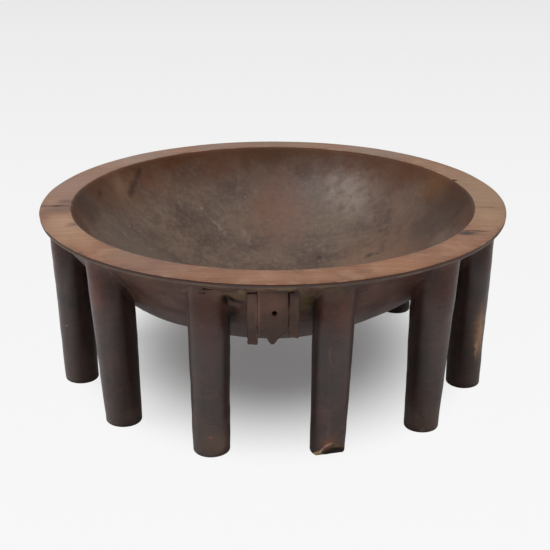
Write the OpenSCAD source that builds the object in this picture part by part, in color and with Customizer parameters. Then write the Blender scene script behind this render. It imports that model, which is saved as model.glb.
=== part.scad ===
// Twelve-legged kava bowl with a flat rim and a pierced hanging lug.
// The origin is on the ground under the middle of the bowl, +Z is up, and the lug faces -Y.

/* [Bowl] */
// Diameter across the outer edge of the rim
rim_d = 430; // [400:1:480]
// Height of the rim's outer edge above the ground
bowl_h = 164; // [150:1:190]
// Width of the flat rim, from its outer edge to the mouth
rim_w = 28; // [22:0.5:36]
// Height of the rim's upright edge face
rim_edge = 4.5; // [3:0.5:8]
// Fall of the rim's top from the mouth to the outer edge
rim_fall = 1.3; // [0.5:0.1:4]
// How far the rim stands out past the belly under it
rim_lip = 5; // [2:0.5:8]
// Clearance between the ground and the lowest point of the belly
belly_gap = 48.5; // [35:0.5:65]
// Thickness of the wood under the lowest point of the basin
floor_t = 17.5; // [8:0.5:24]

/* [Legs] */
// Diameter of a leg at the ground
foot_d = 30.5; // [22:0.5:36]
// Diameter of a leg at the height of the rim's underside
head_d = 36.5; // [26:0.5:42]
// Distance from the rim's outer edge in to a leg's axis at the ground
leg_inset = 30; // [24:0.5:45]
// Outward lean of a leg, in degrees
leg_lean = 1.4; // [0:0.1:3]
// Turn of the whole ring of legs about the bowl, in degrees
leg_turn = -0.7; // [-3:0.1:3]
// Extra turn of the far left leg, which stands out of its even place, in degrees
stray_leg_angle = -2; // [-4:0.1:4]

/* [Broken foot] */
// Height of the break at its peak
chip_h = 11; // [4:0.5:20]
// Height of the break where it leaves the side of the foot
chip_side_h = 4.5; // [1:0.5:8]
// Depth of the break, measured in from the front of the foot
chip_depth = 8; // [3:0.5:14]
// Slope of the broken face, in degrees from upright
chip_slope = 24; // [5:1:40]

/* [Hanging lug] */
// Distance from the rim's outer edge in to the lug's front face
lug_inset = 9; // [7:0.5:14]
// Thickness of the lug from front to back
lug_t = 12; // [8:0.5:18]
// Width of the pierced plate
plate_w = 22.5; // [16:0.5:30]
// Reach of the plate's point below the rim
plate_drop = 53.5; // [42:0.5:60]
// Height of the plate's point
point_h = 10; // [5:0.5:16]
// Diameter of the cord hole
cord_hole_d = 4.2; // [3:0.1:6]
// Clear space left between the cord hole and the belly behind the plate
cord_hole_gap = 0.8; // [0.4:0.1:4]
// Groove between the plate and each rib
lug_groove = 1; // [0.5:0.1:2]
// Width of a rib
rib_w = 8; // [5:0.5:12]
// Reach of the left rib below the rim
left_rib_drop = 55; // [40:0.5:62]
// Reach of the right rib below the rim
right_rib_drop = 47.5; // [40:0.5:62]

/* [Hidden] */
$fn = 96;

// The legs are numbered from the front right, round by the right-hand side.
leg_count = 12;
chipped_leg = 1;
stray_leg = 10;
leg_step = 360 / leg_count;

rim_r = rim_d / 2;
mouth_r = rim_r - rim_w;
mouth_z = bowl_h + rim_fall;
rim_under_z = bowl_h - rim_edge;

// Radius of the sphere whose cap has this base radius and this height.
function cap_sphere_r(base_r, cap_h) = (base_r * base_r + cap_h * cap_h) / (2 * cap_h);

// The belly is a cap that meets the rim's underside, and the basin one that meets the mouth.
belly_r = cap_sphere_r(rim_r - rim_lip, rim_under_z - belly_gap);
basin_bottom_z = belly_gap + floor_t;
basin_r = cap_sphere_r(mouth_r, mouth_z - basin_bottom_z);

leg_axis_r = rim_r - leg_inset;
foot_r = foot_d / 2;
head_r = head_d / 2;
leg_taper = (head_r - foot_r) / rim_under_z;
lug_face_y = lug_inset - rim_r;
lug_back_r = rim_r - lug_inset - lug_t;
rib_x = plate_w / 2 + lug_groove;

// The hole is just below the line where the back of the plate leaves the belly.
lug_leaves_z = belly_gap + belly_r - sqrt(belly_r * belly_r - lug_back_r * lug_back_r);
cord_hole_z = lug_leaves_z - cord_hole_gap - cord_hole_d / 2;

// Colours of the rubbed rim and of the dark oiled wood below it.
rubbed_wood = [0.56, 0.42, 0.33];
dark_wood = [0.27, 0.20, 0.17];

module belly_ball() translate([0, 0, belly_gap + belly_r]) sphere(r = belly_r);

module basin_ball() translate([0, 0, basin_bottom_z + basin_r]) sphere(r = basin_r);

// All the space between the ground and the rim's underside.
module under_rim() cylinder(h = rim_under_z, r = rim_d);

// The shell of the bowl, with a flat land on top that the rim stands on.
module bowl() {
    color(dark_wood)
    difference() {
        intersection() {
            belly_ball();
            under_rim();
        }
        basin_ball();
    }
}

// The rim: an upright edge, a lip under it, and a top that falls a little outwards.
module rim() {
    inside_r = mouth_r - rim_w;
    color(rubbed_wood)
    difference() {
        rotate_extrude()
            polygon([
                [inside_r, rim_under_z],
                [rim_r, rim_under_z],
                [rim_r, bowl_h],
                [inside_r, bowl_h + 2 * rim_fall]
            ]);
        basin_ball();
    }
}

// A tapered post that leans outwards over its foot and runs on below the ground.
module leaning_post() {
    below = foot_r;
    translate([0, -leg_axis_r, 0])
    rotate([leg_lean, 0, 0])
    translate([0, 0, -below])
        cylinder(
            h = rim_under_z + 2 * below,
            r1 = foot_r - below * leg_taper,
            r2 = head_r + below * leg_taper
        );
}

// The break in the front of one foot: a gable that runs up from one side, with a sloping face.
module foot_break() {
    reach = foot_d;
    translate([0, chip_depth - leg_axis_r - foot_r, 0])
    rotate([90 - chip_slope, 0, 0])
        linear_extrude(height = reach)
            polygon([
                [-foot_r, -reach],
                [-foot_r, 0],
                [-foot_r / 12, chip_h],
                [foot_r, chip_side_h],
                [reach, chip_side_h],
                [reach, -reach]
            ]);
}

// One leg, coped to the belly at its head and flat on the ground at its foot.
module leg(number) {
    stray = number == stray_leg ? stray_leg_angle : 0;
    color(dark_wood)
    rotate([0, 0, leg_turn + stray + (number - 0.5) * leg_step])
    difference() {
        intersection() {
            leaning_post();
            under_rim();
        }
        belly_ball();
        if (number == chipped_leg) foot_break();
    }
}

// A bar of the lug with this outline in X and depth below the rim, coped to the belly.
module lug_bar(outline) {
    color(dark_wood)
    difference() {
        intersection() {
            translate([0, lug_face_y + lug_t, bowl_h])
            rotate([90, 0, 0])
                linear_extrude(height = lug_t) polygon(outline);
            under_rim();
        }
        belly_ball();
    }
}

// The shield-shaped plate between the ribs, pierced from front to back for a hanging cord.
module lug_plate() {
    half_w = plate_w / 2;
    shoulder = point_h - plate_drop;
    color(dark_wood)
    difference() {
        lug_bar([[-half_w, 0], [-half_w, shoulder], [0, -plate_drop], [half_w, shoulder], [half_w, 0]]);
        translate([0, lug_face_y - lug_t, cord_hole_z])
        rotate([-90, 0, 0])
            cylinder(h = 3 * lug_t, d = cord_hole_d);
    }
}

// A square rib beside the plate; side is -1 on the left and 1 on the right.
module lug_rib(side, drop) {
    near_x = side * rib_x;
    far_x = side * (rib_x + rib_w);
    lug_bar([[near_x, 0], [near_x, -drop], [far_x, -drop], [far_x, 0]]);
}

function leg_name(number) = str("leg_", number < 10 ? "0" : "", number);

bowl();
rim();
for (number = [1 : leg_count])
    leg(number);
lug_plate();
lug_rib(-1, left_rib_drop);  // lug_rib_left
lug_rib(1, right_rib_drop);  // lug_rib_right
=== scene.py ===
import math

import bmesh
import bpy
from mathutils import Matrix, Vector, noise


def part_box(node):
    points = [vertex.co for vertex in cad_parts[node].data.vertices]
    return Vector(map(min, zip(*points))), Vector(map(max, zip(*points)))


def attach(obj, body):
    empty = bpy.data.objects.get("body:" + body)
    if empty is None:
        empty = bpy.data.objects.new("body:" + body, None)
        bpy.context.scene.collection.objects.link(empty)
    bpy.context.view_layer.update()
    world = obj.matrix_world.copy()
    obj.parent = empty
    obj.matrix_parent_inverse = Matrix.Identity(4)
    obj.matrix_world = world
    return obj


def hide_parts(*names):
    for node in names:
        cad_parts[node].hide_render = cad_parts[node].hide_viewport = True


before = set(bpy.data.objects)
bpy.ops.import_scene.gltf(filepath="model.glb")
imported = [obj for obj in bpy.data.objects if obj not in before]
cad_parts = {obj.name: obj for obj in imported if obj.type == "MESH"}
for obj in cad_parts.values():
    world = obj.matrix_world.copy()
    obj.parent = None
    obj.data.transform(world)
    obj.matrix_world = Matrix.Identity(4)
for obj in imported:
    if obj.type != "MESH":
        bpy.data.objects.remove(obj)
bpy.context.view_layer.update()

# Camera: on the side of the hanging lug, a little above the bowl, so that the rim shows as a wide ring.
# Its place was worked out from the rim, the feet and the sides of the legs.
MM = 0.001
camera_place = Vector((0, -1066 * MM, 500 * MM))
camera_pitch = math.radians(-21.10)
camera_yaw = math.radians(-0.104)
camera_data = bpy.data.cameras.new("camera")
camera_data.sensor_width = 36
camera_data.lens = 78.18
camera = bpy.data.objects.new("camera", camera_data)
camera.location = camera_place
camera.rotation_euler = (math.radians(90) + camera_pitch, 0, camera_yaw)
bpy.context.scene.collection.objects.link(camera)
bpy.context.scene.camera = camera

# Bowl: the carved shell, a cap of a sphere outside and a shallower one inside, cut by hand from one
# block of dense hardwood whose grain runs from left to right. The belly is dark and oiled, and the
# basin is stained grey-brown by drink.
rim_low, rim_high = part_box("rim")
bowl_low, bowl_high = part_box("bowl")
rim_r = rim_high.x
rim_under = rim_low.z
mouth_z = rim_high.z
belly_top_r = bowl_high.x
belly_low = bowl_low.z
rim_w = 28 * MM
floor_t = 17.5 * MM
mouth_lip_t = 0.8 * MM
mouth_r = rim_r - rim_w
basin_low = belly_low + floor_t
turn_steps = 320
arc_steps = 72
weld_gap = 0.02 * MM


def cap_sphere_r(base_r, cap_h):
    """Radius of the sphere whose cap has this base radius and this height."""
    return (base_r ** 2 + cap_h ** 2) / (2 * cap_h)


belly_r = cap_sphere_r(belly_top_r, rim_under - belly_low)
basin_r = cap_sphere_r(mouth_r, mouth_z - basin_low)
belly_centre = Vector((0, 0, belly_low + belly_r))
basin_centre = Vector((0, 0, basin_low + basin_r))
lug_place = Vector((0, -195, 138)) * MM


# Hand carving left the belly fuller on the left than on the right, uneven, and cut back under the rim.
# Gouges lie beside the lug, each given by place, reach and depth; the first, further left, is a swelling.
# Lumps are tool marks in layers, each given by depth and size in mm and a seed.
belly_swell = 2.8 * MM
swell_base = -1.0 * MM
swell_to = 85 * MM
swell_over = 75 * MM
fade_h = 22 * MM
cut_back = 3.2 * MM
cut_back_h = 46 * MM
gouges = [
    (Vector((-104, -103, 90)) * MM, 50 * MM, -2.2 * MM),
    (Vector((-34, -181, 128)) * MM, 9 * MM, 3.0 * MM),
    (Vector((-38, -193, 142)) * MM, 9 * MM, 2.0 * MM),
    (Vector((-27, -188, 137)) * MM, 7 * MM, 1.2 * MM),
    (Vector((31, -190, 140)) * MM, 8 * MM, 1.5 * MM),
    (Vector((27, -180, 126)) * MM, 9 * MM, 1.2 * MM),
]
belly_lumps = [(0.5, 60, 1), (0.22, 17, 2)]
basin_lumps = [(0.45, 50, 4), (0.16, 13, 5)]
chatter_depth = 0.5
chatter_size = 9 * MM
chatter_reach = 60 * MM


def rough(place, size, seed):
    """Smooth noise from -1 to 1 whose lumps are about this size."""
    return noise.noise(place / size + Vector((seed, 0, 0)))


def lumpy(place, layers):
    """The lift of tool marks at a place, in mm."""
    return sum(depth * rough(place, size * MM, seed) for depth, size, seed in layers)


def clip(share):
    """The share, kept between 0 and 1."""
    return max(0, min(1, share))


def belly_shift(place):
    """How far carving by hand moves a point of the belly from the true sphere."""
    outward = (place - belly_centre).normalized()
    fade = clip((rim_under - place.z) / fade_h)
    nearness = max(0, 1 - (place - lug_place).length / chatter_reach)
    lumps = lumpy(place, belly_lumps) - chatter_depth * abs(rough(place, chatter_size, 3)) * nearness
    lift = lumps * fade * MM
    for middle, reach, depth in gouges:
        gap = (place - middle).length / reach
        if gap < 1:
            lift -= depth * (1 - gap ** 2) ** 2
    lift += fade * (swell_base + belly_swell * clip((swell_to - place.x) / swell_over))
    lift -= cut_back * math.sin(math.pi * clip((rim_under - place.z) / cut_back_h))
    return outward * lift


def off_belly(place):
    """How far a point stands off the carved belly; below 0 inside it."""
    return (place - belly_shift(place) - belly_centre).length - belly_r


def cap_arc(centre, radius, top_z):
    """Points (r, z) up one side of a cap, from its lowest point to this height."""
    end = math.acos((centre.z - top_z) / radius)
    angles = [end * step / arc_steps for step in range(arc_steps + 1)]
    return [(radius * math.sin(a), centre.z - radius * math.cos(a)) for a in angles]


def turned(profile, steps):
    """A mesh turned about Z from a line of (r, z) points."""
    bm = bmesh.new()
    points = [bm.verts.new((r, 0, z)) for r, z in profile]
    line = [bm.edges.new(pair) for pair in zip(points, points[1:])]
    bmesh.ops.spin(
        bm, geom=points + line, axis=(0, 0, 1), cent=(0, 0, 0),
        angle=math.tau, steps=steps, use_merge=True,
    )
    bmesh.ops.remove_doubles(bm, verts=bm.verts, dist=weld_gap)
    bmesh.ops.recalc_face_normals(bm, faces=bm.faces)
    return bm


def piece(name, bm, *materials):
    """Makes the finished mesh an object of this name, smooth shaded, with these materials."""
    mesh = bpy.data.meshes.new(name)
    bm.to_mesh(mesh)
    bm.free()
    for material in materials:
        mesh.materials.append(material)
    mesh.shade_smooth()
    made = bpy.data.objects.new(name, mesh)
    bpy.context.scene.collection.objects.link(made)
    return made


def srgb(code):
    """A linear colour from a six-digit sRGB hex value."""
    shares = [int(code[i:i + 2], 16) / 255 for i in (0, 2, 4)]
    return [s / 12.92 if s <= 0.04045 else ((s + 0.055) / 1.055) ** 2.4 for s in shares] + [1]


def add(tree, kind, inputs, out=0, **settings):
    """Adds a node with these settings, sets or links its inputs, and gives one output."""
    node = tree.nodes.new("ShaderNode" + kind)
    for name, value in settings.items():
        setattr(node, name, value)
    for name, value in inputs.items():
        if isinstance(value, bpy.types.NodeSocket):
            tree.links.new(value, node.inputs[name])
        else:
            node.inputs[name].default_value = value
    return node.outputs[out] if node.outputs else node


def wood(name):
    """An empty wood material: its tree and the place of each point on the object."""
    material = bpy.data.materials.new(name)
    material.use_nodes = True
    tree = material.node_tree
    tree.nodes.clear()
    return material, tree, add(tree, "TexCoord", {}, out="Object")


def grain(tree, where, width, length, seed):
    """Streaks along X, the way the grain of the block runs, from 0 to 1."""
    scale = (1 / length, 1 / width, 1 / width)
    drawn = add(tree, "Mapping", {"Vector": where, "Location": (seed, seed, 0), "Scale": scale})
    streaks = add(tree, "TexNoise", {"Vector": drawn, "Scale": 1, "Detail": 4, "Roughness": 0.6})
    return add(tree, "MapRange", {"Value": streaks, "From Min": 0.34, "From Max": 0.66})


def patches(tree, where, size, low, high, seed):
    """A soft mask of patches about this size; low and high set how much of the surface they take."""
    drawn = add(tree, "Mapping", {"Vector": where, "Location": (seed,) * 3, "Scale": (1 / size,) * 3})
    cloud = add(tree, "TexNoise", {"Vector": drawn, "Scale": 1, "Detail": 5, "Roughness": 0.6})
    return add(
        tree, "MapRange", {"Value": cloud, "From Min": low, "From Max": high},
        interpolation_type="SMOOTHSTEP",
    )


def near(tree, where, place, reach, core=0, stretch=(1, 1, 1)):
    """A mask from 1 within core of a place to 0 at reach, which is shorter where stretch is over 1."""
    gap = add(tree, "VectorMath", {0: where, 1: place}, operation="SUBTRACT")
    drawn = add(tree, "VectorMath", {0: gap, 1: stretch}, operation="MULTIPLY")
    distance = add(tree, "VectorMath", {0: drawn}, out="Value", operation="LENGTH")
    return add(
        tree, "MapRange", {"Value": distance, "From Min": reach, "From Max": core},
        interpolation_type="SMOOTHSTEP",
    )


def tint(tree, mask, under, over, strength=1):
    """One colour over another where the mask is 1."""
    share = add(tree, "Math", {0: mask, 1: strength}, operation="MULTIPLY")
    return add(tree, "Mix", {0: share, 6: under, 7: over}, out=2, data_type="RGBA")


def finish_wood(tree, colour, height, depth, roughness, shine, duller=None):
    """Closes a wood material: colour, relief of this depth, gloss, shine, and where it is duller."""
    relief = add(tree, "Bump", {"Height": height, "Distance": depth, "Strength": 1})
    shader = add(
        tree, "BsdfPrincipled",
        {"Base Color": colour, "Roughness": roughness, "Normal": relief, "Specular IOR Level": shine},
    )
    if duller:
        tree.links.new(duller, shader.node.inputs["Specular IOR Level"])
    add(tree, "OutputMaterial", {"Surface": shader})


def ragged(tree, where, size, reach):
    """Places pushed about by noise, so that a stain drawn on them has an uneven edge."""
    push = add(tree, "TexNoise", {"Vector": where, "Scale": 1 / size, "Detail": 4}, out="Color")
    push = add(tree, "VectorMath", {0: push, 1: (0.5, 0.5, 0.5)}, operation="SUBTRACT")
    push = add(tree, "VectorMath", {0: push, "Scale": 2 * reach}, operation="SCALE")
    return add(tree, "VectorMath", {0: where, 1: push})


def stained(tree, where, colour, marks):
    """The colour with marks on it, each given by place, reach, stretch, shade and strength, in mm."""
    for place, reach, stretch, shade, strength in marks:
        spot = near(tree, where, Vector(place) * MM, reach * MM, 0, stretch)
        colour = tint(tree, spot, colour, srgb(shade), strength)
    return colour


def streaked(tree, where, colour, lines):
    """The colour with lines on it, each given by start, end, reach, shade and strength, in mm."""
    for start, end, reach, shade, strength in lines:
        run = (Vector(end) - Vector(start)) * MM
        share_of_run = run / run.length_squared
        gap = add(tree, "VectorMath", {0: where, 1: Vector(start) * MM}, operation="SUBTRACT")
        along = add(tree, "VectorMath", {0: gap, 1: share_of_run}, out="Value", operation="DOT_PRODUCT")
        along = add(tree, "Math", {0: along, 1: 1}, operation="MULTIPLY", use_clamp=True)
        nearest = add(tree, "VectorMath", {0: run, "Scale": along}, operation="SCALE")
        away = add(tree, "VectorMath", {0: gap, 1: nearest}, out="Value", operation="DISTANCE")
        line = add(
            tree, "MapRange", {"Value": away, "From Min": reach * MM, "From Max": 0},
            interpolation_type="SMOOTHSTEP",
        )
        colour = tint(tree, line, colour, srgb(shade), strength)
    return colour


# The belly and the legs show dark hardwood, oiled and handled: red-brown under a grey sheen, softly
# mottled, with fine cuts along the grain. Painted shade makes the leg heads matt and red-brown and the
# inner sides dark and dull. The feet are painted paler, partly dust and partly light from the floor, and
# the legs have worn spots. Olive residue and black cuts lie round the lug, with painted shade in its
# hollows.
dark_wood, tree, where = wood("dark_oiled_hardwood")
uneven = ragged(tree, where, 6 * MM, 5 * MM)
fine = grain(tree, where, 0.9 * MM, 30 * MM, 1)
bands = grain(tree, where, 60 * MM, 5 * MM, 16)
coarse = grain(tree, where, 5 * MM, 70 * MM, 2)
colour = tint(tree, patches(tree, where, 36 * MM, 0.38, 0.62, 3), srgb("573c34"), srgb("74554a"))
outside = add(tree, "VectorMath", {0: where, 1: belly_centre}, out="Value", operation="DISTANCE")
outside = add(
    tree, "MapRange", {"Value": outside, "From Min": belly_r + MM, "From Max": belly_r + 7 * MM},
    interpolation_type="SMOOTHSTEP",
)
leg_colour = tint(tree, patches(tree, where, 24 * MM, 0.38, 0.62, 6), srgb("2c1b17"), srgb("402821"))
ticks = grain(tree, where, 1.7 * MM, 12 * MM, 24)
ticks = add(tree, "MapRange", {"Value": ticks, "From Min": 0.55, "From Max": 1})
ticked = patches(tree, where, 26 * MM, 0.44, 0.6, 25)
ticks = add(tree, "Math", {0: ticks, 1: ticked}, operation="MULTIPLY")
leg_colour = tint(tree, ticks, leg_colour, srgb("120b09"), 0.7)
height = add(tree, "SeparateXYZ", {0: uneven}, out="Z")
# Painted shade: towards the heads the legs are tinted red-brown and made duller, as they look in the shade
# under the rim.
rim_shaded_head = add(
    tree, "MapRange", {"Value": height, "From Min": 95 * MM, "From Max": 142 * MM},
    interpolation_type="SMOOTHSTEP",
)
# Painted light and dust: towards the feet the legs are tinted paler, partly for dust and partly for the
# light thrown up from the floor.
dusty_floor_lit_foot = add(tree, "MapRange", {"Value": height, "From Min": 48 * MM, "From Max": 2 * MM})
leg_colour = tint(tree, rim_shaded_head, leg_colour, srgb("643626"), 0.52)
leg_colour = tint(tree, dusty_floor_lit_foot, leg_colour, srgb("705a4e"), 0.34)
colour = tint(tree, outside, colour, leg_colour)
colour = tint(tree, coarse, colour, srgb("1c1311"), 0.25)
colour = tint(tree, bands, colour, srgb("46322c"), 0.35)
colour = tint(tree, patches(tree, where, 18 * MM, 0.48, 0.7, 4), colour, srgb("5a362e"), 0.45)
colour = tint(tree, patches(tree, where, 15 * MM, 0.48, 0.68, 26), colour, srgb("1c1815"), 0.35)
colour = tint(tree, fine, colour, srgb("54403a"), 0.12)
cuts = add(tree, "MapRange", {"Value": fine, "From Min": 0.3, "From Max": 0.1})
colour = tint(tree, cuts, colour, srgb("120c0a"), 0.3)
residue = near(tree, uneven, Vector((0, -204, 153)) * MM, 60 * MM, 15 * MM, (1, 1, 3.5))
mottle = patches(tree, where, 10 * MM, 0.44, 0.6, 5)
residue = add(tree, "Math", {0: residue, 1: mottle}, operation="MULTIPLY")
colour = tint(tree, residue, colour, srgb("7f6c4d"), 0.75)
colour = stained(tree, uneven, colour, [
    ((188.5, -64, 58), 42, (3, 1.6, 1), "64432b", 0.8),
    ((189.5, -63.5, 56), 34, (5, 1.6, 1), "a87a50", 0.75),
    ((187.5, -64.5, 40), 12, (4, 1.6, 1), "c09c74", 0.6),
    # Painted shade: the far right foot, in the shadow under the bowl.
    ((132, 129, 10), 40, (1, 1, 1), "120c0a", 0.9),
    ((-52, -194, 21), 2.6, (1, 1, 1), "b4583a", 0.9),
    ((-51, -195, 31), 2.2, (1, 1, 1), "8a4636", 0.4),
    ((-52, -198, 108), 13, (1.1, 1, 0.9), "492b27", 0.55),
    ((-50, -200, 138), 20, (1.5, 1, 0.8), "543228", 0.45),
    ((-48, -198, 90), 12, (1.1, 1, 0.8), "3e2622", 0.5),
    # Painted shade under the rim, this line and the next four: the heads of legs 11, 10, 3 and 2, and the
    # left side of leg 1.
    ((-128, -143, 132), 24, (1, 0.7, 0.7), "180e0b", 0.75),
    ((-182, -66, 128), 22, (1, 0.7, 0.8), "180e0b", 0.6),
    ((182, -66, 128), 22, (1, 0.7, 0.8), "180e0b", 0.6),
    ((131, -148, 148), 16, (1, 1, 1), "2a1a14", 0.5),
    ((38, -197, 95), 15, (1.2, 1, 0.5), "1c1310", 0.4),
    ((134, -143, 6), 28, (1, 1, 1), "6a564a", 0.35),
    ((186, -64, 6), 24, (1, 1, 1), "5c4a40", 0.3),
    ((-121, -138, 8), 16, (1, 1, 1), "6a564c", 0.45),
    ((-40, -192, 12), 15, (1, 1, 0.8), "7a5f50", 0.5),
    ((-40, -197, 104), 9, (1, 1, 0.7), "2a2a24", 0.6),
    ((-58, -194, 92), 8, (1, 1, 0.6), "302c28", 0.5),
    ((-50, -196, 13), 17, (1, 1, 0.8), "5c4432", 0.6),
    ((46, -199, 94), 15, (8, 1, 1), "6b463b", 0.5),
    ((46, -196, 24), 13, (3, 1, 0.9), "6b4c3f", 0.5),
    ((47, -195, 13), 13, (0.8, 1, 1), "6e4630", 0.55),
    ((45.5, -194, 13), 5, (0.8, 0.6, 1), "94502e", 0.6),
    ((-186, -56, 82), 4, (1, 1, 1), "120c0a", 0.8),
    ((-190, -54, 60), 3, (1, 1, 2), "8f8078", 0.5),
    ((131, -148, 19), 11, (3, 1, 1), "5f5046", 0.5),
    ((50, -203, 151), 20, (1, 1, 1.6), "54432e", 0.5),
    ((22.5, -203, 155.5), 2.6, (0.8, 0.4, 1), "9a6f5c", 0.7),
    ((28, -184, 136), 17, (1.6, 0.6, 0.8), "5c4a2c", 0.75),
    # Painted shade down the left side of leg 1, under the rim beside the lug.
    ((32, -189, 131), 22, (3.4, 0.6, 0.8), "130d0a", 0.85),
    ((-30, -192, 146), 12, (0.6, 0.6, 1.6), "695a3e", 0.7),
    # Painted shade in the gouge and the hollow left of the lug, this line and the next.
    ((-36, -172, 121), 15, (1.1, 0.6, 0.8), "110e0b", 0.95),
    ((-38, -189, 141), 10, (1, 0.6, 1.5), "1a1310", 0.7),
    ((26, -190, 138), 13, (1.3, 0.5, 0.7), "5a4a2a", 0.6),
    ((57, -200, 130), 16, (1.5, 1, 0.6), "6e483c", 0.4),
    ((-146, -143, 130), 18, (1.2, 1.2, 0.5), "7e4a40", 0.4),
    ((-131, -147, 124), 17, (1.2, 1.2, 0.6), "4a1c14", 0.35),
    ((183, -67, 103), 27, (1, 1, 0.8), "2a1610", 0.4),
    ((117, -144, 12), 17, (1, 1, 0.7), "8a7a74", 0.4),
    ((-48, -202, 104), 20, (1.4, 1, 0.7), "4c2220", 0.35),
])
colour = streaked(tree, ragged(tree, where, 4 * MM, 2 * MM), colour, [
    # The first line is painted shade along the hollow left of the lug, the second a painted highlight on
    # the ridge below it, and the third painted shade along the slits at the head of leg 12.
    ((-39, -192, 144), (-26, -190, 139), 5, "15100c", 0.9),
    ((-34, -185, 131), (-28, -187, 134), 4, "6e5c4e", 0.55),
    ((-57, -203, 152), (-40, -203, 153), 2, "1a1310", 0.6),
    ((-50, -205, 150), (-49, -203, 136), 3.4, "6a3a30", 0.5),
    ((-57, -204, 149), (-56, -202, 128), 2.6, "241a17", 0.5),
    ((-53, -203, 118), (-50, -202, 100), 4, "6a3a33", 0.5),
    ((-47, -203, 122), (-43, -200, 104), 3.6, "2a2a24", 0.6),
    ((-56, -202, 98), (-50, -202, 84), 4, "5e3a36", 0.5),
    ((52, -204, 146), (51, -203, 120), 3, "6a443a", 0.4),
    ((43, -203, 140), (42, -202, 112), 2.4, "241a17", 0.45),
    ((-45, -204, 150), (-41, -199, 132), 3, "241a17", 0.5),
])
# Painted shade: the inner sides of the legs, and the far right foot, face the shadow under the bowl; they
# are tinted darker and made duller.
dull_and_shaded = add(tree, "Math", {0: 0, 1: 0})
for place, reach, core in (
    ((-33, -182, 0), 14, 4),
    ((33, -182, 0), 14, 4),
    ((-117, -138, 0), 26, 10),
    ((117, -138, 0), 26, 10),
    ((-171, -55, 0), 19, 7),
    ((172, -55, 0), 22, 8),
    ((132, 129, 0), 34, 24),
):
    side = near(tree, where, Vector(place) * MM, reach * MM, core * MM, (1, 1, 0))
    dull_and_shaded = add(tree, "Math", {0: dull_and_shaded, 1: side}, operation="MAXIMUM")
dull_and_shaded = add(tree, "Math", {0: dull_and_shaded, 1: outside}, operation="MULTIPLY")
colour = tint(tree, dull_and_shaded, colour, srgb("120b09"), 0.4)
# The painted shade on the heads also takes away most of their shine.
rim_shaded_head = add(tree, "Math", {0: rim_shaded_head, 1: 0.92}, operation="MULTIPLY")
dull_and_shaded = add(tree, "Math", {0: dull_and_shaded, 1: rim_shaded_head}, operation="MAXIMUM")
shine = add(tree, "MapRange", {"Value": dull_and_shaded, "To Min": 0.68, "To Max": 0.26})
gloss = add(tree, "MapRange", {"Value": coarse, "To Min": 0.28, "To Max": 0.4})
finish_wood(tree, colour, fine, 0.06 * MM, gloss, 0.6, shine)

# The basin is the same wood under a grey-brown stain: smoky patches over fine mottling, a matt brown upper
# band, a worn red middle, olive dregs, drips, a dark wedge, pale specks, and scoured lines, which are
# noise on a ring whose radius is counted in the lumps of the noise. A painted sheen at the back, broken by
# scuffs, with pale strokes stands in for a reflection; painted shade darkens the right wall and the two
# ends of the mouth.
scour_ring_r = 45
basin_wood, tree, where = wood("drink_stained_hardwood")
uneven = ragged(tree, where, 22 * MM, 16 * MM)
fine = grain(tree, where, 1.0 * MM, 26 * MM, 5)
coarse = grain(tree, where, 8 * MM, 70 * MM, 6)
cloud = patches(tree, where, 46 * MM, 0.36, 0.62, 7)
colour = tint(tree, cloud, srgb("523e34"), srgb("6e594a"))
colour = tint(tree, patches(tree, where, 20 * MM, 0.46, 0.66, 8), colour, srgb("3a2b25"), 0.22)
colour = tint(tree, patches(tree, where, 12 * MM, 0.52, 0.68, 9), colour, srgb("7a6656"), 0.3)
colour = tint(tree, patches(tree, where, 6 * MM, 0.46, 0.62, 27), colour, srgb("3a2c25"), 0.22)
colour = tint(tree, patches(tree, where, 5 * MM, 0.48, 0.64, 28), colour, srgb("8a7664"), 0.24)
pushed = ragged(tree, where, 30 * MM, 14 * MM)
flat = add(tree, "VectorMath", {0: pushed, 1: (1, 1, 0)}, operation="MULTIPLY")
out_r = add(tree, "VectorMath", {0: flat}, out="Value", operation="LENGTH")
spoke = add(tree, "VectorMath", {0: flat}, operation="NORMALIZE")
spoke = add(tree, "VectorMath", {0: spoke, "Scale": scour_ring_r}, operation="SCALE")
up_wall = add(tree, "MapRange", {"Value": out_r, "From Max": 26 * MM}, clamp=False)
up_wall = add(tree, "CombineXYZ", {"Z": up_wall})
spoke = add(tree, "VectorMath", {0: spoke, 1: up_wall})
scoured = add(tree, "TexNoise", {"Vector": spoke, "Scale": 1, "Detail": 4, "Roughness": 0.6})
on_wall = add(tree, "MapRange", {"Value": out_r, "From Min": 50 * MM, "From Max": 110 * MM})
for low, high, shade, strength in ((0.5, 0.7, "83705f", 0.13), (0.5, 0.3, "33261f", 0.13)):
    lines = add(tree, "MapRange", {"Value": scoured, "From Min": low, "From Max": high})
    lines = add(tree, "Math", {0: lines, 1: on_wall}, operation="MULTIPLY")
    colour = tint(tree, lines, colour, srgb(shade), strength)
colour = tint(tree, coarse, colour, srgb("3d2f28"), 0.2)
height = add(tree, "SeparateXYZ", {0: uneven}, out="Z")
upper = add(
    tree, "MapRange", {"Value": height, "From Min": 128 * MM, "From Max": 163 * MM},
    interpolation_type="SMOOTHSTEP",
)
colour = tint(tree, upper, colour, srgb("522f18"), 0.85)
strokes = grain(tree, ragged(tree, where, 14 * MM, 4 * MM), 80 * MM, 5 * MM, 17)
right_wall = near(tree, uneven, Vector((130, 75, 118)) * MM, 80 * MM, 10 * MM)
strokes = add(tree, "Math", {0: strokes, 1: right_wall}, operation="MULTIPLY")
colour = tint(tree, strokes, colour, srgb("7a5a48"), 0.4)
worn = near(tree, uneven, Vector((4, 132, 110)) * MM, 66 * MM, 4 * MM, (1.4, 1, 1))
scuffed = patches(tree, where, 22 * MM, 0.2, 0.65, 18)
worn = add(tree, "Math", {0: worn, 1: scuffed}, operation="MULTIPLY")
colour = tint(tree, worn, colour, srgb("734935"), 0.75)
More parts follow.
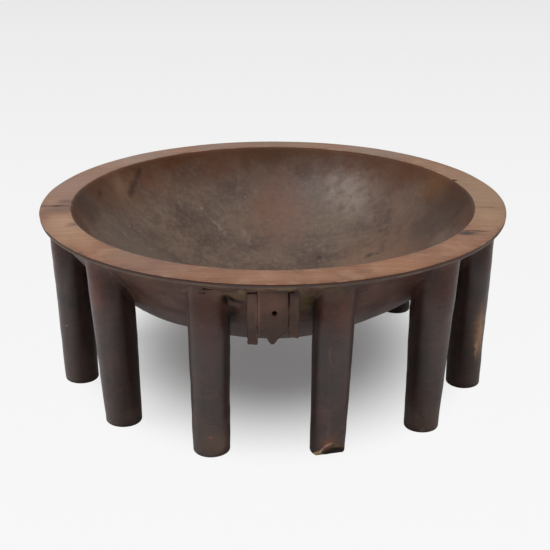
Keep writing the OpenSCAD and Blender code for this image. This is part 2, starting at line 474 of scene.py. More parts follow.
# Painted reflection: a pale sheen at the back of the basin, broken by scuffs.
scattered = ragged(tree, where, 9 * MM, 14 * MM)
painted_sheen = near(tree, scattered, Vector((80, 134, 128)) * MM, 46 * MM, 8 * MM)
scuffed = patches(tree, where, 9 * MM, 0.32, 0.62, 19)
painted_sheen = add(tree, "Math", {0: painted_sheen, 1: scuffed}, operation="MULTIPLY")
colour = tint(tree, painted_sheen, colour, srgb("8e7a6d"), 0.58)
colour = stained(tree, uneven, colour, [
    ((4, 158, 130), 30, (1, 1, 1), "6a4232", 0.4),
    ((-150, 78, 150), 45, (1, 1, 1), "634432", 0.6),
    ((-60, 160, 152), 50, (1, 1, 1), "5a3a2a", 0.5),
    ((120, 125, 148), 50, (1, 1, 1), "5c3d2d", 0.5),
    ((-127, 9, 106), 60, (1, 1, 1), "62564a", 0.6),
    ((-60, -20, 82), 90, (1, 1, 1), "6a5e52", 0.45),
    ((60, 0, 78), 60, (1, 1, 1), "5a5042", 0.4),
    # Painted shade at the two ends of the mouth and down the right wall, this line and the next two.
    ((-179, 14, 153), 38, (1, 1, 1), "36291c", 0.65),
    ((178, 14, 153), 44, (1, 1, 1), "35291f", 0.6),
    ((150, 40, 130), 70, (1, 1, 1), "3f2a20", 0.6),
    ((2, 180, 158), 60, (1, 1, 1), "402a1c", 0.4),
    ((-115, 118, 142), 30, (1, 1, 1), "74533f", 0.5),
    ((-152, 90, 152), 26, (1, 1, 1), "80604a", 0.7),
    ((-128.6, 115, 146), 16, (1, 1, 1), "6a3f30", 0.5),
    ((164, 77.4, 157), 36, (1, 1, 1), "75502f", 0.35),
    # Painted shade on the right wall.
    ((168, 40, 146), 50, (1, 1, 1), "38261a", 0.4),
    ((94, 44, 92), 52, (1, 1, 1), "82604a", 0.5),
    ((123, 13, 103), 42, (1, 1, 1), "7c5944", 0.45),
    ((18.7, 123.3, 103.6), 34, (1, 1, 1), "7a5346", 0.3),
])
colour = streaked(tree, ragged(tree, where, 7 * MM, 7 * MM), colour, [
    ((-61.9, 111.9, 105.7), (-48.4, 100.7, 95.6), 3, "948a80", 0.35),
    ((-67.7, 91.8, 96.9), (-77.1, 53.9, 86.5), 8, "3a2e26", 0.35),
    ((-30.4, 106.8, 95.2), (-23.6, 91.3, 86.7), 4, "8a7c70", 0.3),
    # Painted highlight: pale strokes in the sheen, this line and the next two.
    ((64.6, 153.9, 139.7), (60.8, 137.7, 123.5), 10, "988a7f", 0.22),
    ((81, 145, 138.8), (88.3, 121.7, 123.3), 11, "988a7f", 0.22),
    ((89.7, 117.5, 121.2), (98.3, 96, 112.6), 10, "8c7c70", 0.2),
    ((125.8, 102.1, 134.6), (118.5, 47.5, 105.6), 7, "76533f", 0.35),
    ((134, 66.2, 122.6), (125.3, 20.9, 105.1), 7, "7a5740", 0.35),
    ((117.4, 94.2, 123.5), (107.2, 41.8, 97.6), 6, "40312a", 0.4),
])
colour = streaked(tree, ragged(tree, where, 10 * MM, 3 * MM), colour, [
    ((-137, 120, 158.5), (-143, 90, 143.5), 4, "2e1712", 0.55),
    ((-141, 102, 149), (-143.4, 88.6, 142.8), 7, "361b14", 0.6),
])
colour = stained(tree, where, colour, [
    ((47, 68, 82), 5, (1, 1, 1), "1f1814", 0.8),
    ((96, 45, 92), 6, (0.6, 1, 1), "232a1e", 0.8),
    ((102.6, 41.8, 95), 3, (1, 1, 1), "1f1814", 0.7),
    ((161, -15, 134), 3, (1, 1, 1), "1f1814", 0.6),
    ((108, 74, 108), 4, (1, 1, 1), "2a211b", 0.6),
    ((-169.4, 55.8, 153.4), 7, (2, 1, 0.8), "241a14", 0.7),
    ((-74.3, 121.4, 116.5), 1.9, (1.4, 1, 0.4), "a89c90", 0.6),
    ((-119.8, 31.7, 103), 1.7, (0.8, 1, 1), "a89c90", 0.6),
    ((-140.9, 47.4, 122), 1.5, (1, 0.8, 1), "a89c90", 0.6),
    ((-143.7, 29.8, 120), 2.6, (0.6, 1, 1), "8f8478", 0.5),
    ((-29.3, 145.1, 121.3), 1.5, (1, 1, 0.7), "9a8e82", 0.4),
    ((2.6, 71, 77.5), 2.2, (1.2, 0.6, 1), "8d8070", 0.5),
    ((-55, 104.6, 99.4), 6, (1.6, 1, 1), "7d7065", 0.5),
    ((-23.7, 101.8, 91.7), 5, (1.6, 1, 1), "7d7065", 0.4),
])
specks = add(tree, "TexVoronoi", {"Vector": where, "Scale": 1 / (17 * MM)})
specks = add(tree, "MapRange", {"Value": specks, "From Min": 0.07, "From Max": 0.04})
colour = tint(tree, specks, colour, srgb("857a6c"), 0.25)
gloss = add(tree, "MapRange", {"Value": cloud, "To Min": 0.4, "To Max": 0.54})
shine = add(tree, "MapRange", {"Value": upper, "To Min": 0.35, "To Max": 0.13})
finish_wood(tree, colour, fine, 0.06 * MM, gloss, 0.3, shine)

inner_arc = cap_arc(basin_centre, basin_r, mouth_z - mouth_lip_t)
bowl_bm = turned(cap_arc(belly_centre, belly_r, rim_under) + inner_arc[::-1], turn_steps)
finer_reach = 70 * MM
basin_skin = 2 * MM
by_lug = [e for e in bowl_bm.edges if all((v.co - lug_place).length < finer_reach for v in e.verts)]
bmesh.ops.subdivide_edges(bowl_bm, edges=by_lug, cuts=2, use_grid_fill=True)
for vert in bowl_bm.verts:
    if (vert.co - basin_centre).length < basin_r + floor_t / 3:
        inward = (basin_centre - vert.co).normalized()
        fade = clip((mouth_z - vert.co.z) / fade_h)
        vert.co += inward * lumpy(vert.co, basin_lumps) * fade * MM
    else:
        vert.co += belly_shift(vert.co)
for face in bowl_bm.faces:
    middle = face.calc_center_median()
    face.material_index = int((middle - basin_centre).length < basin_r + basin_skin)
bowl = piece("carved_bowl", bowl_bm, dark_wood, basin_wood)
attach(bowl, "root")
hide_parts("bowl")

# Rim: the flat ring round the mouth, rubbed lighter and redder by hands, with a thin undercut edge and
# a small bead under it. It is one with the bowl and carries old checks along the grain.
rim_top = mouth_z - 1.3 * MM
arris = 0.6 * MM
undercut = 1.3 * MM
edge_r = rim_r - 0.6 * MM
rim_wave_in = 0.6 * MM
rim_wave_down = 0.25 * MM
rim_steps = 480
top_steps = 10

# The top is rubbed to an orange brown, streaked along the grain, pale at the arrises, with dark checks,
# smudges and worn tan places. The edge face has kept its dark skin; a thin red-brown line of painted shade
# runs in the undercut along its top, and an olive line along its foot is partly crust and partly a painted
# highlight on the bead.
rim_wood, tree, where = wood("rubbed_hardwood_rim")
uneven = ragged(tree, where, 9 * MM, 6 * MM)
fine = grain(tree, where, 0.8 * MM, 40 * MM, 8)
coarse = grain(tree, where, 4 * MM, 80 * MM, 9)
cloud = patches(tree, where, 55 * MM, 0.38, 0.62, 10)
colour = tint(tree, cloud, srgb("724734"), srgb("8e644d"))
colour = tint(tree, patches(tree, where, 24 * MM, 0.42, 0.64, 11), colour, srgb("91614a"), 0.5)
colour = tint(tree, coarse, colour, srgb("553628"), 0.55)
colour = tint(tree, fine, colour, srgb("a87c5c"), 0.4)
colour = tint(tree, patches(tree, where, 12 * MM, 0.56, 0.72, 12), colour, srgb("4a342a"), 0.5)
colour = tint(tree, patches(tree, where, 18 * MM, 0.5, 0.66, 22), colour, srgb("a98a72"), 0.3)
flat = add(tree, "VectorMath", {0: where, 1: (1, 1, 0)}, operation="MULTIPLY")
out_r = add(tree, "VectorMath", {0: flat}, out="Value", operation="LENGTH")
off_middle = add(tree, "Math", {0: out_r, 1: rim_r - rim_w / 2}, operation="SUBTRACT")
off_middle = add(tree, "Math", {0: off_middle}, operation="ABSOLUTE")
rubbed = add(tree, "MapRange", {"Value": off_middle, "From Min": rim_w / 2, "From Max": rim_w / 6})
colour = tint(tree, rubbed, colour, srgb("b08668"), 0.2)
chafed = patches(tree, where, 16 * MM, 0.5, 0.66, 13)
for edge, reach in ((rim_r, 1.6 * MM), (mouth_r, 1.4 * MM)):
    gap = add(tree, "Math", {0: out_r, 1: edge}, operation="SUBTRACT")
    gap = add(tree, "Math", {0: gap}, operation="ABSOLUTE")
    line = add(tree, "MapRange", {"Value": gap, "From Min": reach, "From Max": 0})
    line = add(tree, "Math", {0: line, 1: chafed}, operation="MULTIPLY")
    colour = tint(tree, line, colour, srgb("cba482"), 0.6)
colour = stained(tree, uneven, colour, [
    ((-195, 45, 165), 100, (1, 0.8, 1), "8c7062", 0.8),
    ((200, 20, 165), 120, (1, 0.8, 1), "987a60", 0.8),
    ((-182, -70, 165), 36, (1, 0.8, 1), "ac8c72", 0.6),
    ((-100, -178, 165), 56, (1, 1, 1), "785d52", 0.6),
    ((-120, -150, 165), 26, (1, 1.6, 1), "7b6c5e", 0.45),
    ((100, -172, 165), 46, (1, 1, 1), "a2704f", 0.45),
    ((-168, -104, 165), 46, (1, 1, 1), "a07e62", 0.6),
    ((-192, -7, 165), 14, (1, 1.4, 1), "50413c", 0.75),
    ((-196, -32, 165), 22, (0.8, 1.2, 1), "5f4c45", 0.6),
    ((-176, -74, 165), 9, (1, 1, 1), "4c3a30", 0.6),
    ((167, -97.5, 165), 17, (0.85, 2.2, 1), "2f2b2c", 0.95),
    ((194, -27, 165), 14, (0.6, 4, 1), "6e5340", 0.6),
    ((139, -126, 165), 9, (0.5, 2, 1), "5a4032", 0.25),
    ((150, -60, 165), 40, (1, 1, 1), "8a6a54", 0.5),
    ((0, 200, 165), 90, (1, 1, 1), "806a58", 0.6),
    ((190, -54, 165), 36, (1, 1, 1), "b0906e", 0.4),
    ((-140, 145, 165), 74, (1, 1, 1), "8e7a6e", 0.65),
    ((-66, 190, 165), 40, (1, 1, 1), "7a6c66", 0.5),
    ((112, 168, 165), 70, (1, 1, 1), "857469", 0.65),
    ((152, -131, 165), 26, (1, 1, 1), "a87c60", 0.4),
    ((-40, -198, 165), 40, (1, 1, 1), "7c5442", 0.35),
])
split = ragged(tree, where, 7 * MM, 0.8 * MM)
checks = add(tree, "Math", {0: 0, 1: 0})
for place, reach, stretch in (
    ((-205, -18.8, 164.5), 2.2, (0.1, 1, 0.2)),
    ((-194, -21.2, 164.5), 2.2, (0.15, 1, 0.2)),
    ((177, -91.6, 164.5), 2.0, (0.14, 1, 0.2)),
    ((197, -24.4, 164.5), 1.0, (0.12, 1, 0.2)),
    ((176.6, 59.8, 164.5), 4.4, (0.6, 1, 0.6)),
):
    check = near(tree, split, Vector(place) * MM, reach * MM, 0.3 * reach * MM, stretch)
    checks = add(tree, "Math", {0: checks, 1: check}, operation="MAXIMUM")
colour = tint(tree, checks, colour, srgb("1b130f"), 0.9)
height = add(tree, "SeparateXYZ", {0: where}, out="Z")
below = add(
    tree, "MapRange",
    {"Value": height, "From Min": rim_top - arris, "From Max": rim_top - 2 * arris},
)
colour = tint(tree, below, colour, srgb("5c4d49"), 0.95)
# Painted shade: a thin red-brown line in the undercut below the top arris.
groove_low = rim_top - arris - 1.7 * MM
groove_high = rim_top - arris - 1.2 * MM
groove_shade = add(tree, "MapRange", {"Value": height, "From Min": groove_low, "From Max": groove_high})
groove_shade = add(tree, "Math", {0: groove_shade, 1: below}, operation="MULTIPLY")
colour = tint(tree, groove_shade, colour, srgb("4c2216"), 0.7)
# Partly crust and partly painted highlight: an olive line on the bead at the foot of the edge face.
crust_and_bead_highlight = add(
    tree, "MapRange",
    {"Value": height, "From Min": rim_under + 1.8 * MM, "From Max": rim_under + MM},
)
crust = patches(tree, where, 30 * MM, 0.4, 0.56, 23)
crust_and_bead_highlight = add(tree, "Math", {0: crust_and_bead_highlight, 1: crust}, operation="MULTIPLY")
colour = tint(tree, crust_and_bead_highlight, colour, srgb("7d6c52"), 0.55)
relief = add(tree, "Math", {0: fine, 1: checks}, operation="SUBTRACT")
gloss = add(tree, "MapRange", {"Value": coarse, "To Min": 0.42, "To Max": 0.58})
finish_wood(tree, colour, relief, 0.1 * MM, gloss, 0.2)

land = (inner_arc[-1][0], mouth_z - mouth_lip_t)
top_from = mouth_r + arris
top_to = rim_r - arris
rim_profile = [land, (mouth_r, mouth_z - arris / 2), (top_from, mouth_z)]
for step in range(1, top_steps + 1):
    share = step / top_steps
    out = top_from + (top_to - top_from) * share
    rim_profile.append((out, mouth_z + (rim_top - mouth_z) * share))
rim_profile += [
    (rim_r - 0.1 * MM, rim_top - 0.3 * MM),
    (rim_r, rim_top - arris),
    (rim_r - undercut, rim_top - arris - 0.7 * MM),
    (edge_r - 0.2 * MM, rim_top - arris - 1.5 * MM),
    (edge_r, rim_under + 1.6 * MM),
    (edge_r + 0.2 * MM, rim_under + 0.9 * MM),
    (edge_r - 0.1 * MM, rim_under + 0.2 * MM),
    (edge_r - 0.9 * MM, rim_under),
    (belly_top_r - 0.2 * MM, rim_under - 0.1 * MM),
    land,
]
rim_bm = turned(rim_profile, rim_steps)
for vert in rim_bm.verts:
    outer = max(0, (vert.co.xy.length - mouth_r) / rim_w)
    vert.co.xy *= 1 - rim_wave_in / rim_r * outer * (0.5 + 0.5 * rough(vert.co, 35 * MM, 6))
    vert.co.z -= rim_wave_down * (1 + rough(vert.co, 40 * MM, 3))
rim = piece("carved_rim", rim_bm, rim_wood)
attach(rim, "root")
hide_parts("rim")

# Legs: twelve round posts cut from the same block, tapered to the foot and leaning out a little, so
# that the grain crosses them. Each runs into the belly with a small cove. The far left one stands out
# of its even place, and the front right one has lost a flake from its foot.
leg_count = 12
leg_lean = math.radians(1.4)
leg_turn = math.radians(-0.7)
stray_leg = 10
stray_angle = math.radians(-2)
broken_leg = 1
slit_leg = 12
slits = [
    [(-62, 149.0), (-53, 150.0), (-53, 151.1), (-62, 150.3)],
    [(-55, 153.4), (-46, 153.0), (-46, 154.0), (-55, 154.5)],
]
slit_front = -210 * MM
slit_back = -197.5 * MM
leg_axis_r = rim_r - 30 * MM
foot_r = 30.5 * MM / 2
head_r = 36.5 * MM / 2
foot_round = 1.8 * MM
cove = 1.8 * MM
leg_sides = 80
foot_rows = 6
side_rows = 48
cove_rows = 8
cove_reach = 1.3
edge_sunk = 0.8 * MM
head_sunk = 7 * MM
# The rows of a leg crowd towards its head. Where a side meets the belly is searched for in a few rounds
# from this far below the rim, and the upper rows then move onto the leg and belly run together.
row_crowding = 1.4
search_from = 10 * MM
search_rounds = 7
settle_from = 0.6
settle_rounds = 4
# Tool marks on a leg: short lumps, and long ones drawn out along it. The noise for each is read on a ring
# of this radius in mm.
short_lump = 0.3
short_size = 15 * MM
short_ring = 13
long_lump = 0.45
long_size = 14 * MM
long_ring = 9
long_draw = 0.4
# How each leg in view differs from the even one: its foot, its head, the shift of both to the right, and
# the shift of the foot to the back.
plain_shape = (1.0, 1.0, 0, 0, 0)
own_shape = {
    1: (0.97, 0.98, -0.2, 3.4, 0),
    2: (0.97, 1.09, 0.2, 4.2, -4.0),
    3: (1.015, 0.965, 0.3, 0.3, 0),
    10: (1.015, 0.975, -0.7, -0.7, 0),
    11: (1.045, 1.09, 0.8, -2.0, 4.5),
    12: (1.025, 0.975, -1.6, -1.0, 0),
}


def leg_mesh(number, angle):
    """A leg at this angle about the bowl, run into the belly."""
    foot_share, head_share, foot_shift, head_shift, foot_back = own_shape.get(number, plain_shape)
    turn = Matrix.Rotation(angle, 3, "Z")
    foot = turn @ Vector((0, -leg_axis_r, 0)) + Vector((foot_shift, foot_back, 0)) * MM
    slope = turn @ Vector((0, -math.tan(leg_lean), 1))
    slope.x += (head_shift - foot_shift) * MM / rim_under
    slope.y -= foot_back * MM / rim_under
    seed = number * 7

    def radius(up, way):
        """The leg's radius at this height, on the side that faces this way."""
        share = up / rim_under
        even = foot_r * foot_share * (1 - share) + head_r * head_share * share
        lumps = short_lump * rough(way * short_ring * MM + slope * up, short_size, seed)
        lumps += long_lump * rough(way * long_ring * MM + slope * up * long_draw, long_size, seed + 3)
        return even + lumps * MM

    def settle(place):
        """Moves a point onto the leg and the belly run together."""
        for _ in range(settle_rounds):
            across = place - foot - slope * place.z
            across.z = 0
            leg_way = across.normalized()
            leg_gap = across.length - radius(place.z, leg_way)
            belly_way = (place - belly_centre).normalized()
            belly_gap = off_belly(place)
            share = clip(0.5 + 0.5 * (belly_gap - leg_gap) / cove)
            gap = belly_gap * (1 - share) + leg_gap * share - cove * share * (1 - share)
            way = belly_way * (1 - share) + leg_way * share
            place = place - way * gap / way.length_squared
        return place

    side_from = 2 + foot_rows
    cove_from = side_from + side_rows
    last = cove_from + cove_rows
    rows = [(0, 0)] + [(1, row) for row in range(1, last + 1)] + [(0, last + 1)]
    bm = turned(rows, leg_sides)
    for vert in bm.verts:
        row = round(vert.co.z)
        way = Vector((vert.co.x, vert.co.y, 0)).normalized()
        if row < side_from:
            turned_by = math.pi / 2 * max(0, row - 1) / foot_rows
            up = foot_round * (1 - math.cos(turned_by))
            reach = radius(0, way) - foot_round * (1 - math.sin(turned_by))
            reach = reach if row > 1 else reach * 0.5 * row
            vert.co = foot + slope * up + way * reach
            continue
        head = rim_under - search_from
        for _ in range(search_rounds):
            reached = foot + slope * head + way * radius(head, way)
            rise = (belly_centre - reached).normalized().z
            head = min(rim_under, head + off_belly(reached) / rise)
        if row > last:
            inside = foot + slope * head - belly_centre
            vert.co = belly_centre + inside.normalized() * (belly_r - head_sunk)
            continue
        share = min(1, (row - side_from) / side_rows)
        share = 1 - (1 - share) ** row_crowding
        up = foot_round + (head - foot_round) * share
        place = foot + slope * up + way * radius(up, way)
        if row > cove_from:
            normal = (place - belly_centre).normalized()
            along = (way - normal * way.dot(normal)).normalized()
            out = place + along * cove * cove_reach * (row - cove_from) / cove_rows - belly_centre
            place = belly_centre + out.normalized() * belly_r
            place += belly_shift(place)
        if share > settle_from:
            place = settle(place)
        if row == last:
            place -= (place - belly_centre).normalized() * edge_sunk
        place.z = min(place.z, rim_under)
        vert.co = place
    bmesh.ops.recalc_face_normals(bm, faces=bm.faces)
    if bm.calc_volume(signed=True) < 0:
        bmesh.ops.reverse_faces(bm, faces=bm.faces)
    return bm


def carried_out(made):
    """The object's mesh with its modifiers carried out; the object itself is taken away."""
    seen = made.evaluated_get(bpy.context.evaluated_depsgraph_get())
    bm = bmesh.new()
    bm.from_mesh(seen.to_mesh())
    bpy.data.objects.remove(made)
    return bm


def bar(outline, front, back):
    """A straight bar along Y with this outline in X and Z, in mm."""
    bm = bmesh.new()
    face = bm.faces.new([bm.verts.new((x * MM, front, z * MM)) for x, z in outline])
    grown = bmesh.ops.extrude_face_region(bm, geom=[face])["geom"]
    moved = [v for v in grown if isinstance(v, bmesh.types.BMVert)]
    bmesh.ops.translate(bm, verts=moved, vec=(0, back - front, 0))
    bmesh.ops.recalc_face_normals(bm, faces=bm.faces)
    return bm


def cut_from(made, tool):
    """The object's mesh with the tool's shape cut out of it; both objects are taken away."""
    taken = made.modifiers.new("cut", "BOOLEAN")
    taken.object = tool
    taken.solver = "MANIFOLD"
    bm = carried_out(made)
    bpy.data.objects.remove(tool)
    return bm


# The break shows paler wood than the oiled skin: tan and torn along the grain, with red flecks. Its lip is
# pinker, with pink, straw and white flecks, partly fresh wood and partly painted highlight where it faces
# the light, and a painted shadow lies in its deepest part, where the foot stands off the floor.
torn_wood, tree, where = wood("torn_hardwood")
fibres = grain(tree, where, 0.8 * MM, 7 * MM, 20)
colour = tint(tree, patches(tree, where, 5 * MM, 0.4, 0.6, 21), srgb("8a7058"), srgb("a08468"))
colour = tint(tree, fibres, colour, srgb("4a3428"), 0.4)
broken_way = leg_turn + math.tau * (broken_leg - 0.5) / leg_count
broken_axis = Matrix.Rotation(broken_way, 3, "Z") @ Vector((0, -leg_axis_r, 0))
sunk = add(tree, "VectorMath", {0: where, 1: broken_axis}, operation="SUBTRACT")
sunk = add(tree, "VectorMath", {0: sunk, 1: (1, 1, 0)}, operation="MULTIPLY")
sunk = add(tree, "VectorMath", {0: sunk}, out="Value", operation="LENGTH")
# Partly painted highlight: the lip of the break is tinted pinker where it faces the light.
lit_lip = add(tree, "MapRange", {"Value": sunk, "From Min": foot_r - 4 * MM, "From Max": foot_r - MM})
colour = tint(tree, lit_lip, colour, srgb("a87f68"), 0.5)
# Painted shadow in the deepest part of the break, where the foot stands off the floor.
painted_hollow_shadow = near(tree, where, Vector((52, -184, 0.3)) * MM, 5.6 * MM, 3 * MM, (0.36, 0.3, 1))
colour = tint(tree, painted_hollow_shadow, colour, srgb("120b07"), 0.95)
# The pink, straw and white flecks are partly painted highlight along the lit lip; the red ones are flecks.
colour = streaked(tree, ragged(tree, where, 3 * MM, MM), colour, [
    ((41, -187, 4.8), (47.5, -183, 8), 2.6, "f6c8b4", 0.95),
    ((48, -182.6, 8.6), (50.5, -182.2, 8.8), 2, "e0c496", 0.8),
    ((43, -185.6, 4.4), (47, -184.2, 6), 1.2, "8a3c2c", 0.75),
    ((43.5, -185.5, 2.6), (48, -184, 3.6), 1.8, "6a2c20", 0.7),
    ((39.6, -187.4, 2.6), (40.6, -187.2, 3.2), 1.6, "fff0de", 0.9),
    ((34, -189, 2), (38.5, -187.5, 2.2), 3, "cdb27c", 0.85),
])
finish_wood(tree, colour, fibres, 0.3 * MM, 0.7, 0.5)

# The outline of the break across the foot, in mm, and how it lies: in from the front, sloping back.
break_outline = [
    (-17, -30), (-17, 2.4), (-13.5, 3.2), (-11, 4.2), (-9, 5.6), (-7.6, 7.4), (-6.2, 9.0), (-4, 10.2),
    (-1.5, 10.7), (0.5, 10.1), (3, 9.0), (5.5, 7.9), (8, 6.9), (11, 5.7), (14.5, 4.6), (32, 4.4),
    (32, -30),
]
break_depth = 8 * MM
break_slope = math.radians(24)
break_reach = 24 * MM
tear_step = 0.9 * MM
tear_lumps = [(0.4, 5, 31), (0.1, 2, 32)]
tear_way = Vector((0.3, 1, 1))


def flake(angle):
    """The flake lost from the front of a foot, as a tool to cut with."""
    blank = piece("flake_blank", bar(break_outline, -break_reach, 0))
    worn = blank.modifiers.new("torn", "REMESH")
    worn.mode = "VOXEL"
    worn.voxel_size = tear_step
    bm = carried_out(blank)
    for vert in bm.verts:
        vert.co += tear_way * lumpy(vert.co, tear_lumps) * MM
    lie = Matrix.Rotation(angle, 4, "Z") @ Matrix.Translation((0, break_depth - leg_axis_r - foot_r, 0))
    bm.transform(lie @ Matrix.Rotation(-break_slope, 4, "X"))
    for face in bm.faces:
        face.material_index = 1
    return piece("flake", bm, dark_wood, torn_wood)


for number in range(1, leg_count + 1):
    angle = leg_turn + math.tau * (number - 0.5) / leg_count
    if number == stray_leg:
        angle += stray_angle
    leg_bm = leg_mesh(number, angle)
    if number == broken_leg:
        blank = piece("leg_blank", leg_bm, dark_wood, torn_wood)
        leg_bm = cut_from(blank, flake(angle))
    if number == slit_leg:
        for outline in slits:
            blank = piece("leg_blank", leg_bm, dark_wood)
            leg_bm = cut_from(blank, piece("knife", bar(outline, slit_front, slit_back)))
    leg = piece(f"carved_leg_{number:02d}", leg_bm, dark_wood, torn_wood)
    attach(leg, "root")
    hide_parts(f"leg_{number:02d}")

# Hanging lug: a shield-shaped plate pierced for a cord, between two square ribs, all left standing from
# the block and cut with a knife. Handling has rounded their edges.
lug_face = -206 * MM
lug_t = 12 * MM
hole_r = 2.2 * MM
hole_x = 1.2 * MM
hole_z = 135.6 * MM
knife_step = 0.55 * MM
wear_rounds = 6

# The lug is warmer and duller than the legs: rubbed pink along the left groove, dark in the cuts, with
# painted shade in the grooves and a painted shadow under the rim, and a little olive at its top and right
# side.
lug_wood, tree, where = wood("knife_cut_hardwood")
fine = grain(tree, where, 1.0 * MM, 20 * MM, 14)
uneven = ragged(tree, where, 3 * MM, 1.2 * MM)
colour = tint(tree, patches(tree, where, 14 * MM, 0.38, 0.64, 15), srgb("49332b"), srgb("593f35"))
colour = tint(tree, fine, colour, srgb("281c18"), 0.3)
colour = stained(tree, uneven, colour, [
    ((-11.8, -206, 140), 3.0, (1, 0.4, 0.12), "7d5a4c", 0.8),
    ((-11.8, -206, 118), 2.2, (1, 0.4, 0.3), "8d6a5a", 0.7),
    # Painted shade in the grooves beside the plate, this line and the next.
    ((12.0, -206, 146), 2.0, (1, 0.4, 0.14), "1a120f", 0.7),
    ((-13.4, -206, 147), 2.4, (1, 0.4, 0.35), "1a120f", 0.7),
    ((-13, -206, 119.5), 1.6, (1, 0.4, 1), "140e0b", 0.8),
    ((12.5, -206, 155), 2.0, (1, 0.4, 1), "8a6455", 0.6),
    ((20, -206, 140), 5, (1, 0.4, 0.3), "57472e", 0.5),
    ((0, -206, 157), 12, (0.5, 0.4, 2.4), "574835", 0.6),
    # Painted shadow under the rim at the top of the plate and the right rib, this line and the next.
    ((3, -206, 153.5), 15, (1, 0.4, 5), "1c1310", 0.7),
    ((15, -206, 152.5), 8, (1, 0.4, 1.6), "1c1310", 0.75),
    # Painted shade in the right groove.
    ((13, -206, 144), 3, (1, 0.4, 0.8), "140e0b", 0.7),
    ((1, -206, 144), 21, (1, 0.4, 1.2), "73503f", 0.6),
    ((1, -206, 122), 16, (0.9, 0.4, 1), "3c2c24", 0.6),
    ((-17, -206, 112), 14, (1, 0.4, 0.6), "3a2a24", 0.4),
    ((-16.5, -206, 144), 15, (1.2, 0.4, 0.7), "6a4c40", 0.6),
    ((17, -206, 130), 26, (1.6, 0.4, 1), "3e2c22", 0.4),
    ((-1, -206, 112), 7, (1, 0.4, 1), "3a2a24", 0.5),
])
finish_wood(tree, colour, fine, 0.12 * MM, 0.56, 0.34)

plate_outline = [
    (-12.1, 158), (-12.1, 147), (-12.6, 140), (-12.5, 126), (-10.6, 119.2), (-4.8, 113.6), (-1.7, 109.0),
    (0.6, 109.0), (3.9, 113.8), (9.6, 118.8), (12.2, 124), (12.6, 138), (12.0, 147), (12.0, 158),
]
left_outline = [(-20.6, 158), (-20.3, 109.4), (-12.2, 108.4), (-12.2, 144), (-12.7, 158)]
right_outline = [(13.0, 158), (12.8, 147), (12.2, 138), (12.2, 115.2), (20.2, 114.2), (20.5, 158)]
slit_outline = [(-22, 152.0), (-11.5, 152.4), (-11.5, 153.7), (-22, 153.6)]
slit_in = 3.5 * MM
nick_outline = [(12, 154), (16, 153), (17, 156), (12, 157)]
nick_in = 3 * MM


def carved(name, outline, cut, seed):
    """A bar of the lug with a cut taken from it and its edges worn."""
    blank = piece("lug_blank", bar(outline, lug_face, lug_face + lug_t))
    blank = piece("lug_blank", cut_from(blank, piece("knife", cut)))
    worn = blank.modifiers.new("worn", "REMESH")
    worn.mode = "VOXEL"
    worn.voxel_size = knife_step
    bm = carried_out(blank)
    for _ in range(wear_rounds):
        bmesh.ops.smooth_vert(
            bm, verts=bm.verts, factor=0.5, use_axis_x=True, use_axis_y=True, use_axis_z=True,
        )
    bm.normal_update()
    knife_lumps = [(0.5, 9, seed), (0.25, 3.5, seed + 1)]
    for vert in bm.verts:
        vert.co += vert.normal * lumpy(vert.co, knife_lumps) * MM
    made = piece(name, bm, lug_wood)
    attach(made, "root")
    return made


hole = bmesh.new()
bmesh.ops.create_cone(
    hole, cap_ends=True, segments=48, radius1=hole_r, radius2=hole_r, depth=4 * lug_t,
    matrix=Matrix.Translation((hole_x, lug_face, hole_z)) @ Matrix.Rotation(math.pi / 2, 4, "X"),
)
plate = carved("pierced_plate", plate_outline, hole, 11)
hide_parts("lug_plate")
slit = bar(slit_outline, lug_face - MM, lug_face + slit_in)
left_rib = carved("left_rib", left_outline, slit, 13)
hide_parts("lug_rib_left")
nick = bar(nick_outline, lug_face - MM, lug_face + nick_in)
right_rib = carved("right_rib", right_outline, nick, 15)
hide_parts("lug_rib_right")

# Floor and light: a wide sheet of paper, a large soft lamp overhead, a smaller one high on the left, and
# even light all round, as in a white tent. The camera sees the world as a pale grey backdrop.
floor_half = 12
floor_bm = bmesh.new()
bmesh.ops.create_grid(floor_bm, x_segments=1, y_segments=1, size=floor_half)

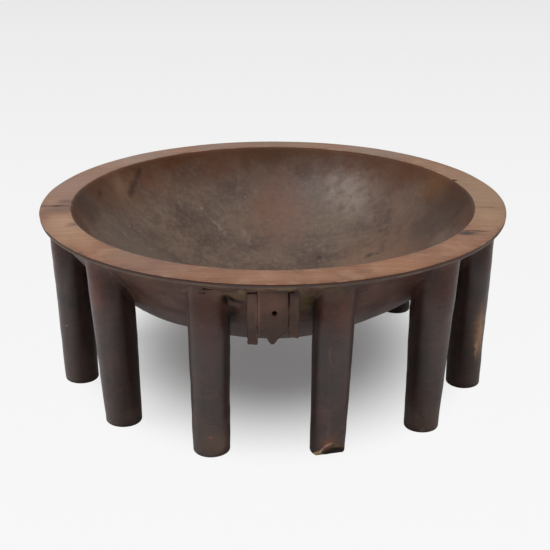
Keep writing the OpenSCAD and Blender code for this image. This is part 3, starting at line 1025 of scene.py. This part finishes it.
# The paper is matt. To the camera it turns to white away from the bowl, with a painted fall-off of the
# light that makes it a little darker towards the back, so that only the soft shade close to the bowl
# shows.
paper, tree, where = wood("pale_paper_floor")
seen = add(tree, "LightPath", {}, out="Is Camera Ray")
tone = add(tree, "Mix", {0: seen, 6: srgb("e6e6e6"), 7: srgb("f4f4f4")}, out=2, data_type="RGBA")
sheet = add(tree, "BsdfPrincipled", {"Base Color": tone, "Roughness": 0.9})
depth = add(tree, "SeparateXYZ", {0: where}, out="Y")
fade = add(tree, "MapRange", {"Value": depth, "From Min": -0.6, "From Max": 2.4})
shade = add(tree, "Mix", {0: fade, 6: srgb("f9f9f9"), 7: srgb("e9e9e9")}, out=2, data_type="RGBA")
white = add(tree, "Emission", {"Color": shade})
oval = add(tree, "VectorMath", {0: where, 1: (1.25, 1, 1)}, operation="MULTIPLY")
from_bowl = add(tree, "VectorMath", {0: oval, 1: (0, 0.05, 0)}, out="Value", operation="DISTANCE")
away = add(
    tree, "MapRange", {"Value": from_bowl, "From Min": 0.1, "From Max": 0.265, "To Min": 0.08},
    interpolation_type="SMOOTHSTEP",
)
away = add(tree, "Math", {0: away, 1: seen}, operation="MULTIPLY")
shader = add(tree, "MixShader", {0: away, 1: sheet, 2: white})
add(tree, "OutputMaterial", {"Surface": shader})
floor = piece("floor", floor_bm, paper)

for name, place, size, power in (
    ("top_lamp", (0, 0, 2.2), 1.6, 5),
    ("left_lamp", (-0.7, -0.1, 1.7), 0.9, 11),
):
    lamp_data = bpy.data.lights.new(name, "AREA")
    lamp_data.shape = "DISK"
    lamp_data.size = size
    lamp_data.energy = power
    lamp = bpy.data.objects.new(name, lamp_data)
    lamp.location = place
    lamp.rotation_euler = (Vector((0, 0, 0.1)) - lamp.location).to_track_quat("-Z", "Y").to_euler()
    bpy.context.scene.collection.objects.link(lamp)

world = bpy.data.worlds.new("studio")
world.use_nodes = True
tree = world.node_tree
tree.nodes.clear()
seen = add(tree, "LightPath", {}, out="Is Camera Ray")
strength = add(tree, "MapRange", {"Value": seen, "To Min": 0.6, "To Max": 0.81})
even_light = add(tree, "Background", {"Color": (1, 1, 1, 1), "Strength": strength})
add(tree, "OutputWorld", {"Surface": even_light})
bpy.context.scene.world = world
bpy.context.scene.view_settings.view_transform = "Standard"
